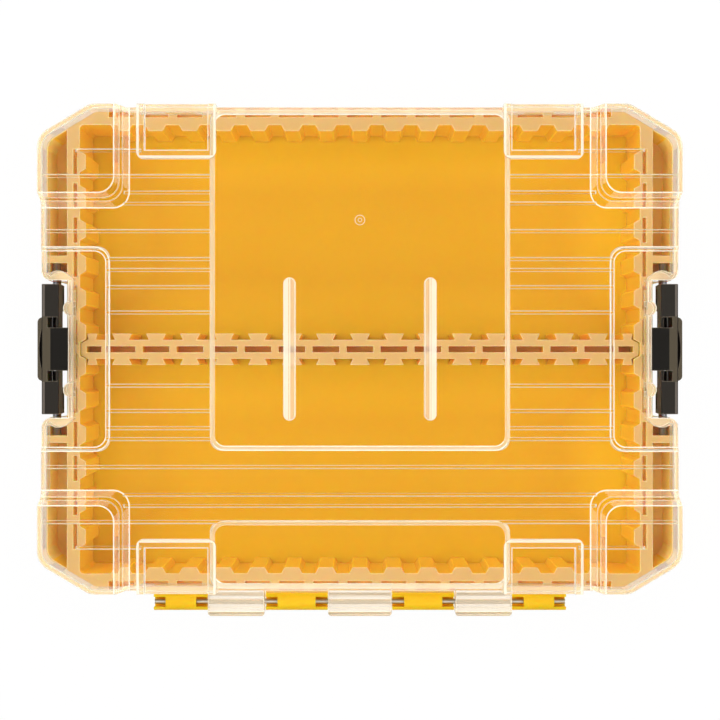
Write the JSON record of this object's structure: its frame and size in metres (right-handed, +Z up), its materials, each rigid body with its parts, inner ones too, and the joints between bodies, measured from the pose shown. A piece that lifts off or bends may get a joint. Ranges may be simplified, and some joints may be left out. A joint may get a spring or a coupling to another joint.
{
  "type": "saw blade storage case",
  "caption": "Flat storage case: toothed base tray with a slotted divider, clear hinged lid, steel hinge rod and side latches.",
  "frame": {"origin": "middle of the base's underside, and of the case in plan without its hinge", "axes": "+Z up, +Y towards the front, +X to the right, hinge along X at the back"},
  "size_m": [0.32, 0.2552, 0.066],
  "materials": {
    "yellow_plastic": "fine-grained moulded yellow",
    "clear_plastic": "clear, polished",
    "black_plastic": "satin moulded black",
    "steel": "drawn rod",
    "dark_steel": "blackened"
  },
  "bodies": {
    "base": {"base_tray": "yellow_plastic", "hinge_rod": "steel", "divider": "yellow_plastic", "latch_pin_left_front": "dark_steel", "latch_pin_left_rear": "dark_steel", "latch_pin_right_front": "dark_steel", "latch_pin_right_rear": "dark_steel"},
    "lid": {"lid": "clear_plastic"},
    "latch_left": {"latch_left": "black_plastic"},
    "latch_right": {"latch_right": "black_plastic"}
  },
  "joints": [
    {"name": "lid_hinge", "type": "hinge", "parent": "base", "child": "lid", "pos_m": [0, -0.1265, 0.048], "axis": [1, 0, 0], "range_deg": [0, 110]},
    {"name": "latch_left_pivot", "type": "hinge", "parent": "base", "child": "latch_left", "pos_m": [-0.1535, 0, 0.0395], "axis": [0, -1, 0], "range_deg": [0, 95]},
    {"name": "latch_right_pivot", "type": "hinge", "parent": "base", "child": "latch_right", "pos_m": [0.1535, 0, 0.0395], "axis": [0, 1, 0], "range_deg": [0, 95]}
  ]
}
